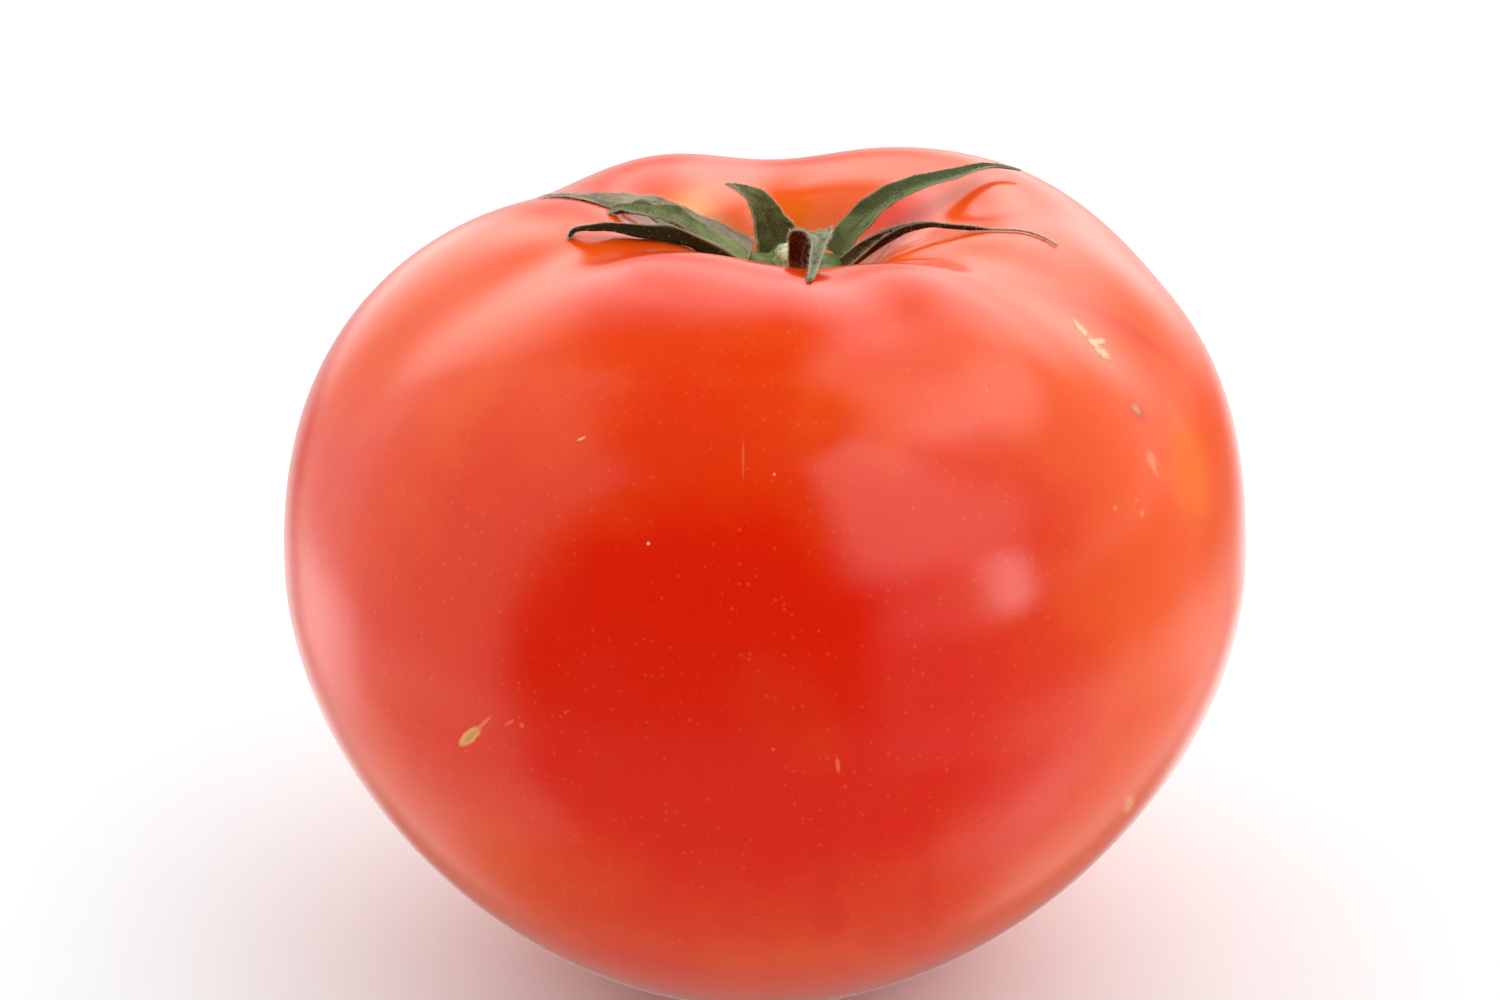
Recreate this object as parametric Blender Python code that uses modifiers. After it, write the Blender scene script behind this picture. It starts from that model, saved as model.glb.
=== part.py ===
"""A large ripe tomato, as picked: one fruit with a stem cavity, and the calyx that stays in it.

The calyx is a small hub with the stub of the stem on it and seven sepals round it.
Units are metres, +Z is up, and the fruit stands on its small flat spot at z = 0.
Run it with: blender --background --python part.py
"""

import math

import bmesh
import bpy
import numpy as np
from mathutils import Matrix, Vector
from mathutils.bvhtree import BVHTree

MM = 0.001

# Fruit. Lengths with no unit are in fruit radii, measured from the fruit's middle.
# A fullness of 2 is an ellipse: more is squarer, less is more pointed.
FRUIT_RADIUS = 44 * MM
SHOULDER_RISE = 0.765
SHOULDER_FULLNESS = 2.6
BASE_DROP = 1.042
BASE_FULLNESS = 1.77
FLAT_SPOT_DROP = 0.975
LEAN = (0.018, 0.023)
OVALNESS = 0.022
FRUIT_SEGMENTS = 80
FRUIT_RINGS = 44

# Lobes. Each groove runs down the shoulder from the cavity: (bearing in degrees, depth).
# It deepens and fades over two bands of angle from the stem end.
GROOVES = ((13, 0.033), (88, 0.036), (135, 0.041), (202, 0.054), (300, 0.019), (346, 0.072))
GROOVE_WIDTH = 17.0
GROOVE_START = (4, 30)
GROOVE_END = (45, 105)
# The shoulder stands a little higher on one side: how much, and the bearing of that side.
SHOULDER_TILT = (0.038, 28)
TILT_START = (0, 30)
TILT_END = (30, 90)

# Stem cavity: a wide dish, and a steeper pit in its middle with a flatter floor.
CAVITY_PLACE = (0.069, 0.153)
CAVITY_FADE = (0.0, 0.3)
DISH_DEPTH = 0.151
DISH_RADIUS = 0.411
PIT_DEPTH = 0.116
PIT_RADIUS = 0.2

# Calyx hub and stem stub. Heights are above the floor of the cavity.
GAP = 0.3 * MM
HUB_RADIUS = 4.0 * MM
HUB_LIFT = 0.35 * MM
HUB_RIM_LIFT = 1.4 * MM
HUB_TOP = 2.3 * MM
STUB_RADIUS = 2.0 * MM
STUB_HEIGHT = 1.5 * MM
TURNED_STEPS = 32
WELD = 0.01 * MM

# Sepals. A route is (distance from the hub's axis, height over the cavity floor, bearing),
# in mm and degrees. Half widths are in mm, and a twist has degrees at the base and at the
# tip. The trough is how far the edges stand above the midrib, in half widths.
SEPAL_THICKNESS = 0.6 * MM
SEPAL_CLEARANCE = 0.75 * MM
SEPAL_ROWS = 18
SEPAL_COLUMNS = 4
BASE_SHARE = 0.55
WIDEST_PART = 0.25
TIP_SHARE = 0.16
SEPALS = {
    "sepal_front": dict(
        route=((5.3, 2.8, 281), (6.2, 6.0, 281), (8.0, 9.0, 281), (11.5, 11.0, 279),
               (15.2, 11.5, 276), (18.6, 10.7, 273), (21.4, 9.8, 272)),
        half_width=1.9, twist=(0, -12), trough=0.35, colour=(0.17, 0.22, 0.12)),
    "sepal_right": dict(
        route=((4.9, 2.6, 336), (7.1, 4.3, 338), (9.5, 6.4, 338), (12.0, 7.6, 338),
               (15.7, 8.1, 338), (19.5, 8.0, 338), (22.8, 7.2, 338), (24.6, 6.3, 338)),
        half_width=1.2, twist=(10, 0), trough=0.5, colour=(0.10, 0.07, 0.03)),
    "sepal_right_back": dict(
        route=((4.9, 2.6, 31), (6.0, 4.7, 26), (7.6, 6.7, 22), (10.2, 8.3, 20),
               (15.1, 8.9, 19), (18.5, 8.8, 19), (21.7, 8.5, 19)),
        half_width=2.3, twist=(-10, -15), trough=0.4, colour=(0.11, 0.17, 0.06)),
    "sepal_back": dict(
        route=((5.3, 2.2, 105), (5.6, 4.0, 114), (6.6, 6.0, 119), (8.7, 7.0, 120),
               (10.8, 7.0, 120), (12.9, 6.6, 121)),
        half_width=2.2, twist=(0, 10), trough=0.3, colour=(0.11, 0.14, 0.04)),
    "sepal_left_back": dict(
        route=((4.9, 2.6, 149), (9.3, 4.6, 157), (13.4, 6.2, 159), (19.4, 6.7, 160),
               (23.6, 5.8, 160), (26.2, 5.1, 160)),
        half_width=2.0, twist=(0, 0), trough=0.25, colour=(0.20, 0.17, 0.13)),
    "sepal_left": dict(
        route=((4.9, 2.8, 178), (9.6, 6.5, 181), (13.3, 7.9, 181), (15.7, 7.7, 181),
               (17.1, 7.0, 181)),
        half_width=1.7, twist=(0, 5), trough=0.3, colour=(0.16, 0.20, 0.08)),
    "sepal_left_front": dict(
        route=((4.9, 2.9, 213), (7.5, 4.6, 206), (11.4, 6.7, 201), (15.0, 8.5, 200),
               (18.6, 9.1, 200), (20.9, 8.9, 200), (21.6, 7.6, 200)),
        half_width=1.6, twist=(20, 25), trough=0.3, colour=(0.07, 0.09, 0.03)),
}

SKIN_RED = (0.68, 0.035, 0.012)
HUB_GREEN = (0.14, 0.20, 0.05)
STUB_PALE = (0.42, 0.43, 0.22)
SKIN_ROUGHNESS = 0.3
STUB_ROUGHNESS = 0.65
LEAF_ROUGHNESS = 0.7


def clear_scene():
    for thing in list(bpy.data.objects):
        bpy.data.objects.remove(thing, do_unlink=True)


def new_collection(name):
    collection = bpy.data.collections.new(name)
    bpy.context.scene.collection.children.link(collection)
    return collection


def new_material(name, colour, roughness):
    material = bpy.data.materials.new(name)
    material.use_nodes = True
    shader = material.node_tree.nodes["Principled BSDF"]
    shader.inputs["Base Color"].default_value = (*colour, 1.0)
    shader.inputs["Roughness"].default_value = roughness
    shader.inputs["Metallic"].default_value = 0.0
    return material


def add_object(bm, name, material, collection, middle):
    """Turn a finished bmesh into a smooth-shaded object, parented to the fruit's middle."""
    mesh = bpy.data.meshes.new(name)
    bm.to_mesh(mesh)
    bm.free()
    mesh.materials.append(material)
    mesh.shade_smooth()
    thing = bpy.data.objects.new(name, mesh)
    collection.objects.link(thing)
    thing.parent = middle
    return thing


# ---------------------------------------------------------------- fruit


def smoothstep(value, start, end):
    part = np.clip((value - start) / (end - start), 0.0, 1.0)
    return part * part * (3.0 - 2.0 * part)


def band(polar, start, end):
    """A share that grows from 0 to 1 over the start band and falls back over the end band."""
    return smoothstep(polar, *start) * (1.0 - smoothstep(polar, *end))


def groove_depth(bearing):
    """How deep the grooves between the lobes are at a bearing, as a sum of soft valleys."""
    depth = np.zeros_like(bearing)
    for centre, deepest in GROOVES:
        away = (bearing - centre + 180.0) % 360.0 - 180.0
        depth += deepest * np.exp(-((away / GROOVE_WIDTH) ** 2))
    return depth


def shoulder_height(bearing):
    most, highest = SHOULDER_TILT
    return most * np.cos(np.radians(bearing - highest))


def cavity_depth(x, y):
    away = np.hypot(x - CAVITY_PLACE[0], y - CAVITY_PLACE[1])
    dish = DISH_DEPTH * np.exp(-((away / DISH_RADIUS) ** 2))
    pit = PIT_DEPTH * np.exp(-((away / PIT_RADIUS) ** 4))
    return dish + pit


def fruit_points(directions):
    """Move unit directions out to the skin. The answer is in fruit radii."""
    x, y, z = directions.T
    polar = np.degrees(np.arccos(np.clip(z, -1.0, 1.0)))
    bearing = np.degrees(np.arctan2(y, x))
    flat = np.hypot(x, y)
    rise = np.where(z > 0, SHOULDER_RISE, BASE_DROP)
    fullness = np.where(z > 0, SHOULDER_FULLNESS, BASE_FULLNESS)
    reach = (flat**fullness + (np.abs(z) / rise) ** fullness) ** (-1.0 / fullness)
    grooves = groove_depth(bearing) * band(polar, GROOVE_START, GROOVE_END)
    tilt = shoulder_height(bearing) * band(polar, TILT_START, TILT_END)
    reach = reach * (1.0 - grooves + tilt)
    oval = 1.0 + OVALNESS * np.cos(2.0 * np.radians(bearing)) * flat
    px, py, pz = reach * oval * x, reach * oval * y, reach * z
    pz = pz - cavity_depth(px, py) * smoothstep(z, *CAVITY_FADE)
    pz = np.maximum(pz, -FLAT_SPOT_DROP)
    return np.column_stack((px + LEAN[0] * pz, py + LEAN[1] * pz, pz))


def make_fruit(collection, middle):
    """The whole fruit: a sphere moved out to the skin, with its underside cut flat."""
    bm = bmesh.new()
    bmesh.ops.create_uvsphere(bm, u_segments=FRUIT_SEGMENTS, v_segments=FRUIT_RINGS, radius=1.0)
    directions = np.array([vert.co for vert in bm.verts])
    points = fruit_points(directions) * FRUIT_RADIUS
    for vert, point in zip(bm.verts, points):
        vert.co = point
    centre = (points.max(axis=0) + points.min(axis=0)) / 2
    middle.location = (-centre[0], -centre[1], FLAT_SPOT_DROP * FRUIT_RADIUS)
    skin = new_material("ripe_skin", SKIN_RED, SKIN_ROUGHNESS)
    return add_object(bm, "fruit", skin, collection, middle)


def skin_height(skin, x, y):
    """The height of the skin above a point of the plan, in the fruit's own frame."""
    place, _, _, _ = skin.ray_cast(Vector((x, y, 2 * FRUIT_RADIUS)), Vector((0, 0, -1)))
    return place.z


# ---------------------------------------------------------------- hub and stub


def turned(profile, name, material, collection, middle, seat):
    """A solid of revolution. The profile runs from the top of the axis, outside, to its foot."""
    bm = bmesh.new()
    verts = [bm.verts.new((radius, 0.0, height)) for radius, height in profile]
    for upper, lower in zip(verts, verts[1:]):
        bm.edges.new((upper, lower))
    thing = add_object(bm, name, material, collection, middle)
    thing.location = seat
    screw = thing.modifiers.new("turn", "SCREW")
    screw.axis = "Z"
    screw.angle = math.tau
    screw.steps = TURNED_STEPS
    screw.render_steps = TURNED_STEPS
    screw.use_merge_vertices = True
    screw.merge_threshold = WELD
    screw.use_smooth_shade = True
    return thing


def make_calyx_hub(collection, middle, seat):
    """The receptacle: a shallow saucer in the floor of the cavity, where the sepals meet."""
    green = new_material("calyx_green", HUB_GREEN, LEAF_ROUGHNESS)
    profile = (
        (0.0, HUB_TOP),
        (0.7 * HUB_RADIUS, HUB_TOP),
        (0.93 * HUB_RADIUS, HUB_TOP - 0.1 * MM),
        (HUB_RADIUS, HUB_TOP - 0.35 * MM),
        (HUB_RADIUS, HUB_RIM_LIFT + 0.15 * MM),
        (0.93 * HUB_RADIUS, HUB_RIM_LIFT),
        (0.5 * HUB_RADIUS, HUB_LIFT + 0.15 * MM),
        (0.0, HUB_LIFT),
    )
    turned(profile, "calyx_hub", green, collection, middle, seat)


def make_stem_stub(collection, middle, seat):
    """What is left of the stem where it broke off: a short peg with a rounded, scarred end."""
    pale = new_material("stub_pale", STUB_PALE, STUB_ROUGHNESS)
    foot = HUB_TOP + GAP
    top = foot + STUB_HEIGHT
    profile = (
        (0.0, top - 0.2 * MM),
        (0.45 * STUB_RADIUS, top),
        (0.8 * STUB_RADIUS, top - 0.15 * MM),
        (STUB_RADIUS, top - 0.6 * MM),
        (0.94 * STUB_RADIUS, foot + 0.4 * MM),
        (1.12 * STUB_RADIUS, foot),
        (0.0, foot),
    )
    turned(profile, "stem_stub", pale, collection, middle, seat)


# ---------------------------------------------------------------- sepals


def route_places(route, seat):
    """A sepal's route as points in the fruit's frame."""
    places = []
    for distance, height, bearing in route:
        turn = math.radians(bearing)
        flat = Vector((math.cos(turn), math.sin(turn), 0.0)) * distance * MM
        places.append(seat + flat + Vector((0.0, 0.0, height * MM)))
    return places


def smooth_route(points, part):
    """The place at part (0 to 1) of a smooth line through the points, a Catmull-Rom curve."""
    last = len(points) - 1
    at = min(int(part * last), last - 1)
    step = part * last - at
    before = points[at - 1] if at > 0 else 2 * points[0] - points[1]
    after = points[at + 2] if at + 2 <= last else 2 * points[last] - points[last - 1]
    start, end = points[at], points[at + 1]
    return 0.5 * (
        2 * start
        + (end - before) * step
        + (2 * before - 5 * start + 4 * end - after) * step**2
        + (3 * start - before - 3 * end + after) * step**3
    )


def sepal_width(part):
    """The share of its full width that a sepal has at part of its length, from 0 to 1."""
    swell = math.sin(math.pi / 2 * min(part / WIDEST_PART, 1.0))
    taper = (1.0 - max(part - WIDEST_PART, 0.0) / (1.0 - WIDEST_PART)) ** 0.75
    return max((BASE_SHARE + (1.0 - BASE_SHARE) * swell) * taper, TIP_SHARE)


def sepal_point(places, shape, seat, along, across):
    """One point of a sepal's underside. along runs 0 to 1, and across runs -1 to 1."""
    step = 0.02
    centre = smooth_route(places, along)
    ahead = smooth_route(places, min(along + step, 1.0))
    behind = smooth_route(places, max(along - step, 0.0))
    tangent = (ahead - behind).normalized()
    side = Vector((0.0, 0.0, 1.0)).cross(centre - seat)
    side = (side - side.dot(tangent) * tangent).normalized()
    base_twist, tip_twist = shape["twist"]
    twist = math.radians(base_twist + (tip_twist - base_twist) * along)
    side = Matrix.Rotation(twist, 3, tangent) @ side
    normal = tangent.cross(side)
    half = shape["half_width"] * MM * sepal_width(along)
    return centre + side * half * across + normal * half * shape["trough"] * across**2


def make_sepal(name, shape, collection, middle, seat, skin):
    """A thin blade along its route, kept just clear of the skin under it."""
    places = route_places(shape["route"], seat)
    bm = bmesh.new()
    bmesh.ops.create_grid(bm, x_segments=SEPAL_ROWS, y_segments=SEPAL_COLUMNS, size=1.0)
    for vert in bm.verts:
        point = sepal_point(places, shape, seat, (vert.co.x + 1.0) / 2.0, vert.co.y)
        point.z = max(point.z, skin_height(skin, point.x, point.y) + SEPAL_CLEARANCE)
        vert.co = point
    bmesh.ops.recalc_face_normals(bm, faces=bm.faces)
    if sum(face.normal.z for face in bm.faces) < 0:
        bmesh.ops.reverse_faces(bm, faces=bm.faces)
    leaf = new_material(name + "_leaf", shape["colour"], LEAF_ROUGHNESS)
    sepal = add_object(bm, name, leaf, collection, middle)
    solid = sepal.modifiers.new("thickness", "SOLIDIFY")
    solid.thickness = SEPAL_THICKNESS
    solid.offset = 1.0


def main():
    clear_scene()
    collection = new_collection("tomato")
    middle = bpy.data.objects.new("fruit_middle", None)
    collection.objects.link(middle)
    fruit = make_fruit(collection, middle)
    skin = BVHTree.FromObject(fruit, bpy.context.evaluated_depsgraph_get())
    seat_x = CAVITY_PLACE[0] * FRUIT_RADIUS
    seat_y = CAVITY_PLACE[1] * FRUIT_RADIUS
    seat = Vector((seat_x, seat_y, skin_height(skin, seat_x, seat_y)))
    make_calyx_hub(collection, middle, seat)
    make_stem_stub(collection, middle, seat)
    for name, shape in SEPALS.items():
        make_sepal(name, shape, collection, middle, seat, skin)


main()
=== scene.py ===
# %% [markdown]
# # A ripe tomato, built cell by cell
# This is a big ripe tomato of the ribbed kind, standing on the small flat spot under it. Its green
# calyx is still on: a hub in the stem cavity, the stub where the stem broke off, and seven sepals.
# A packed CAD model gives the true size and the place of every piece. Each cell below builds one
# piece or one finish on top of it, says how it could be done, and prints what it made.

# %% The packed model
import math

import bmesh
import bpy
import numpy as np
from mathutils import Matrix, Vector, noise
from mathutils.bvhtree import BVHTree


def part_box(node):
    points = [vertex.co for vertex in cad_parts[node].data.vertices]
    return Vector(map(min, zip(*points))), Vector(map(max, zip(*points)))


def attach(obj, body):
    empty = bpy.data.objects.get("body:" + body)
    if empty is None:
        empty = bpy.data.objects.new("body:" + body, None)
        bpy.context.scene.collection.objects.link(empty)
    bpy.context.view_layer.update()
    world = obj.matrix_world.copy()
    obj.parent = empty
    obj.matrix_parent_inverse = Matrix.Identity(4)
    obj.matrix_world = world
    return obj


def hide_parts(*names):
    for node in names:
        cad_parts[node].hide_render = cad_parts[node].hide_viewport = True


MM = 0.001
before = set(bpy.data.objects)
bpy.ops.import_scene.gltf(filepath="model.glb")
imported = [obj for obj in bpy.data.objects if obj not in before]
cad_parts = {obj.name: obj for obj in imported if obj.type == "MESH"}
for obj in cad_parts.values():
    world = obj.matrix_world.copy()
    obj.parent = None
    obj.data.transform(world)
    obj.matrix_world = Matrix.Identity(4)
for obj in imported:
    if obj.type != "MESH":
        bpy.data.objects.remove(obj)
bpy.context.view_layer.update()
print("CAD nodes:", len(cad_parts))

# %% [markdown]
# ## The outline of the fruit
# A tomato is a squashed ball with soft lobes. It could be sculpted by hand, or subdivided from a
# rough cage. A formula is used here instead: it takes a direction from the fruit's middle and says
# how far away the skin is, and every lobe is one line in a list. The CAD fruit came from a plainer
# formula of the same kind. The fine skin lies within a millimetre of it nearly everywhere, and is
# up to 2.5 mm off at the lip of the cavity. Lengths in these two cells are in fruit radii.

# %% The numbers of the fruit
SHOULDER_RISE = 0.765
SHOULDER_FULLNESS = 2.6
BASE_DROP = 1.042
BASE_FULLNESS = 1.77
FLAT_SPOT_DROP = 0.975
LEAN = (0.018, 0.023)
OVALNESS = 0.022
GROOVES = ((13, 0.036), (88, 0.036), (135, 0.041), (197, 0.029), (300, 0.019), (340, 0.060))
GROOVE_WIDTH = 17.0
GROOVE_START = (4, 30)
GROOVE_END = (45, 105)
# bearing, drift in degrees per degree down, depth, width in degrees, start band, end band
CREASES = (
    (196, 0.35, 0.006, 9, (15, 40), (60, 110)),
    (5, 0, -0.016, 38, (70, 115), (140, 170)),
)
CREASE_MIDDLE = 50
# swellings round the cavity, and a low place behind it: x, y, radius, height
LOBES = (
    (-0.25, -0.14, 0.20, 0.020),
    (-0.06, -0.16, 0.11, 0.012),
    (0.32, -0.10, 0.16, 0.010),
    (0.02, 0.62, 0.33, -0.024),
)
SHOULDER_TILT = (0.038, 28)
TILT_START = (0, 30)
TILT_END = (30, 90)
CAVITY_PLACE = (0.069, 0.153)
CAVITY_FADE = (0.0, 0.3)
DISH_DEPTH = 0.151
DISH_RADIUS = 0.36
DISH_EDGE = 3.0
PIT_DEPTH = 0.116
PIT_RADIUS = 0.2
# the dimple left by the flower, under the fruit
BLOSSOM_DEPTH = 0.014
BLOSSOM_RADIUS = 0.055
print("fruit:", len(GROOVES), "grooves,", len(CREASES), "creases,", len(LOBES), "lobes")

# %% The fruit formula


def smoothstep(value, start, end):
    """0 before start, 1 after end, and a smooth slope between them."""
    part = np.clip((value - start) / (end - start), 0.0, 1.0)
    return part * part * (3.0 - 2.0 * part)


def band(polar, start, end):
    """A share that grows from 0 to 1 over the start band and falls back over the end band."""
    return smoothstep(polar, *start) * (1.0 - smoothstep(polar, *end))


def turn_between(bearing, centre):
    """The angle from centre to bearing, in degrees, from -180 to 180."""
    return (bearing - centre + 180.0) % 360.0 - 180.0


def groove_depth(bearing):
    """How deep the valleys between the lobes are at a bearing."""
    depth = np.zeros_like(bearing)
    for centre, deepest in GROOVES:
        depth += deepest * np.exp(-((turn_between(bearing, centre) / GROOVE_WIDTH) ** 2))
    return depth


def crease_depth(polar, bearing):
    """How deep the narrow creases are. They are finer than a lobe, and drift as they run down."""
    depth = np.zeros_like(bearing)
    for centre, drift, deepest, width, start, end in CREASES:
        away = turn_between(bearing, centre + drift * (polar - CREASE_MIDDLE))
        depth += deepest * np.exp(-((away / width) ** 2)) * band(polar, start, end)
    return depth


def cavity_depth(x, y):
    """How far the skin sinks round the stem: a wide dish with a steeper pit in its middle."""
    away = np.hypot(x - CAVITY_PLACE[0], y - CAVITY_PLACE[1])
    dish = DISH_DEPTH * np.exp(-((away / DISH_RADIUS) ** DISH_EDGE))
    depth = dish + PIT_DEPTH * np.exp(-((away / PIT_RADIUS) ** 4))
    for lobe_x, lobe_y, radius, height in LOBES:
        away = np.hypot(x - lobe_x, y - lobe_y)
        depth = depth - height * np.exp(-((away / radius) ** 2))
    return depth


def angles_of(directions):
    """The angle from the stem end and the bearing of each direction, in degrees."""
    x, y, z = directions.T
    polar = np.degrees(np.arccos(np.clip(z, -1.0, 1.0)))
    return polar, np.degrees(np.arctan2(y, x))


def fruit_points(directions):
    """Move unit directions out to the skin."""
    x, y, z = directions.T
    polar, bearing = angles_of(directions)
    flat = np.hypot(x, y)
    rise = np.where(z > 0, SHOULDER_RISE, BASE_DROP)
    fullness = np.where(z > 0, SHOULDER_FULLNESS, BASE_FULLNESS)
    reach = (flat**fullness + (np.abs(z) / rise) ** fullness) ** (-1.0 / fullness)
    grooves = groove_depth(bearing) * band(polar, GROOVE_START, GROOVE_END)
    grooves = grooves + crease_depth(polar, bearing)
    most, highest = SHOULDER_TILT
    tilt = most * np.cos(np.radians(bearing - highest)) * band(polar, TILT_START, TILT_END)
    reach = reach * (1.0 - grooves + tilt)
    oval = 1.0 + OVALNESS * np.cos(2.0 * np.radians(bearing)) * flat
    px, py, pz = reach * oval * x, reach * oval * y, reach * z
    pz = pz - cavity_depth(px, py) * smoothstep(z, *CAVITY_FADE)
    pz = np.maximum(pz, -FLAT_SPOT_DROP)
    dimple = BLOSSOM_DEPTH * np.exp(-((np.hypot(px, py) / BLOSSOM_RADIUS) ** 2))
    pz = pz + dimple * (z < 0)
    return np.column_stack((px + LEAN[0] * pz, py + LEAN[1] * pz, pz))


print("skin under the stem, radii:", fruit_points(np.array([[0.0, 0.0, 1.0]])).round(3).tolist())

# %% [markdown]
# ## A ball with no poles
# A UV sphere would crowd its triangles into the two poles, just where the stem cavity needs an even
# mesh. So the ball starts as a cube cut into small squares, and each corner is pushed out to a
# sphere. The directions then lean towards the stem end, which makes the squares there the smallest.

# %% The ball of directions
CUTS = 118
STEM_CROWDING = 0.3


def even_ball(cuts, crowding):
    """A cut cube, with the unit direction of each of its corners."""
    bm = bmesh.new()
    bmesh.ops.create_cube(bm, size=2.0)
    bmesh.ops.subdivide_edges(bm, edges=bm.edges[:], cuts=cuts, use_grid_fill=True)
    cube = np.array([vert.co for vert in bm.verts])
    evened = np.tan(cube * math.pi / 4)
    directions = evened / np.linalg.norm(evened, axis=1, keepdims=True)
    directions[:, 2] += crowding
    return bm, directions / np.linalg.norm(directions, axis=1, keepdims=True)


fruit_bm, directions = even_ball(CUTS, STEM_CROWDING)
print("fruit mesh:", len(fruit_bm.verts), "corners")

# %% [markdown]
# ## Real size and real place
# The formula works in radii, so the packed fruit's box gives the scale and the middle. Measuring
# them, and not typing them in again, keeps the two models together if the CAD ever changes.

# %% Size and place from the CAD box
fruit_low, fruit_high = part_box("fruit")
skin = fruit_points(directions)
formula_low, formula_high = skin.min(axis=0), skin.max(axis=0)
FRUIT_RADIUS = float((fruit_high.x - fruit_low.x) / (formula_high[0] - formula_low[0]))
box_middle = (fruit_low + fruit_high) / 2
fruit_middle = Vector((
    box_middle.x - FRUIT_RADIUS * (formula_low[0] + formula_high[0]) / 2,
    box_middle.y - FRUIT_RADIUS * (formula_low[1] + formula_high[1]) / 2,
    fruit_low.z + FRUIT_RADIUS * FLAT_SPOT_DROP,
))
print("fruit radius, mm:", round(FRUIT_RADIUS / MM, 2), "middle, mm:", fruit_middle / MM)

# %% [markdown]
# ## The camera
# The lens is a long one, close in: about 79 mm on a full frame, 0.31 m from the fruit, looking down
# on it at 28 degrees. It is placed from the fruit's own middle, so it stays right if the fruit
# moves. The aim is a little above the middle, and the horizon is off by under a degree.

# %% Camera
CAMERA_DISTANCE = 7.0 * FRUIT_RADIUS
CAMERA_HEIGHT_ANGLE = math.radians(27.617)
CAMERA_ROLL = math.radians(0.694)
AIM_LEFT = 0.02893 * FRUIT_RADIUS
AIM_ABOVE = 0.07753 * FRUIT_RADIUS
LENS = 78.58
NEAREST_SEEN = 10 * MM

view_right = Vector((1.0, 0.0, 0.0))
view_up = Vector((0.0, math.sin(CAMERA_HEIGHT_ANGLE), math.cos(CAMERA_HEIGHT_ANGLE)))
view_ahead = view_up.cross(view_right)
aim = fruit_middle - AIM_LEFT * view_right + AIM_ABOVE * view_up
rolled_right = math.cos(CAMERA_ROLL) * view_right - math.sin(CAMERA_ROLL) * view_up
rolled_up = math.sin(CAMERA_ROLL) * view_right + math.cos(CAMERA_ROLL) * view_up

camera_data = bpy.data.cameras.new("camera")
camera_data.lens = LENS
camera_data.clip_start = NEAREST_SEEN
camera = bpy.data.objects.new("camera", camera_data)
placing = Matrix((rolled_right, rolled_up, -view_ahead)).transposed().to_4x4()
placing.translation = aim - CAMERA_DISTANCE * view_ahead
camera.matrix_world = placing
bpy.context.scene.collection.objects.link(camera)
bpy.context.scene.camera = camera
print("camera at, mm:", placing.translation / MM)

# %% [markdown]
# ## Building finishes from nodes
# Every finish here is a node tree, so it has no edges, no repeats and no picture behind it. Wiring
# nodes one by one fills pages, so this small class adds a node, sets or links its inputs, and
# gives back its output. A finish then reads like a recipe.

# %% A helper for finishes


class Finish:
    """A node tree. Each method adds one node and gives back its output socket."""

    def __init__(self, name):
        self.material = bpy.data.materials.new(name)
        self.material.use_nodes = True
        self.tree = self.material.node_tree
        self.shader = self.tree.nodes["Principled BSDF"]

    def add(self, kind, inputs=None, output=0, **settings):
        node = self.tree.nodes.new(kind)
        for name, value in settings.items():
            setattr(node, name, value)
        for key, value in (inputs or {}).items():
            self.feed(node.inputs[key], value)
        return node.outputs[output]

    def feed(self, socket, value):
        if isinstance(value, bpy.types.NodeSocket):
            self.tree.links.new(value, socket)
        elif socket.type == "RGBA" and len(value) == 3:
            socket.default_value = (*value, 1.0)
        else:
            socket.default_value = value

    def math(self, operation, *values, clamp=False):
        inputs = dict(enumerate(values))
        return self.add("ShaderNodeMath", inputs, operation=operation, use_clamp=clamp)

    def vector(self, operation, *values, output=0):
        inputs = dict(enumerate(values))
        return self.add("ShaderNodeVectorMath", inputs, output, operation=operation)

    def scaled(self, vector, x, y, z):
        return self.vector("MULTIPLY", vector, (x, y, z))

    def noise(self, vector, scale, detail=2.0, roughness=0.5, distortion=0.0):
        inputs = {
            "Vector": vector,
            "Scale": scale,
            "Detail": detail,
            "Roughness": roughness,
            "Distortion": distortion,
        }
        return self.add("ShaderNodeTexNoise", inputs, "Fac")

    def cells(self, vector, scale, output="Distance"):
        return self.add("ShaderNodeTexVoronoi", {"Vector": vector, "Scale": scale}, output)

    def step(self, value, start, end, low=0.0, high=1.0):
        """low before start, high after end, and a smooth slope between them."""
        inputs = {
            "Value": value,
            "From Min": start,
            "From Max": end,
            "To Min": low,
            "To Max": high,
        }
        if start > end:
            inputs.update({"From Min": end, "From Max": start, "To Min": high, "To Max": low})
        return self.add("ShaderNodeMapRange", inputs, interpolation_type="SMOOTHSTEP")

    def mix(self, factor, first, second, blend="MIX"):
        node = self.tree.nodes.new("ShaderNodeMix")
        node.data_type = "RGBA"
        node.blend_type = blend
        self.feed(node.inputs["Factor"], factor)
        self.feed(node.inputs["A"], first)
        self.feed(node.inputs["B"], second)
        return node.outputs["Result"]

    def split(self, vector):
        node = self.tree.nodes.new("ShaderNodeSeparateXYZ")
        self.feed(node.inputs[0], vector)
        return node.outputs["X"], node.outputs["Y"], node.outputs["Z"]

    def bump(self, height, distance, strength=1.0, normal=None):
        inputs = {"Height": height, "Distance": distance, "Strength": strength}
        if normal is not None:
            inputs["Normal"] = normal
        return self.add("ShaderNodeBump", inputs, "Normal")

    def place(self):
        """The point being shaded, in metres from the object's own origin."""
        return self.add("ShaderNodeTexCoord", output="Object")

    def finish(self, **sockets):
        for name, value in sockets.items():
            self.feed(self.shader.inputs[name.replace("_", " ")], value)
        return self.material


print("finish steps:", ", ".join(name for name in vars(Finish) if not name.startswith("_")))

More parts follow.
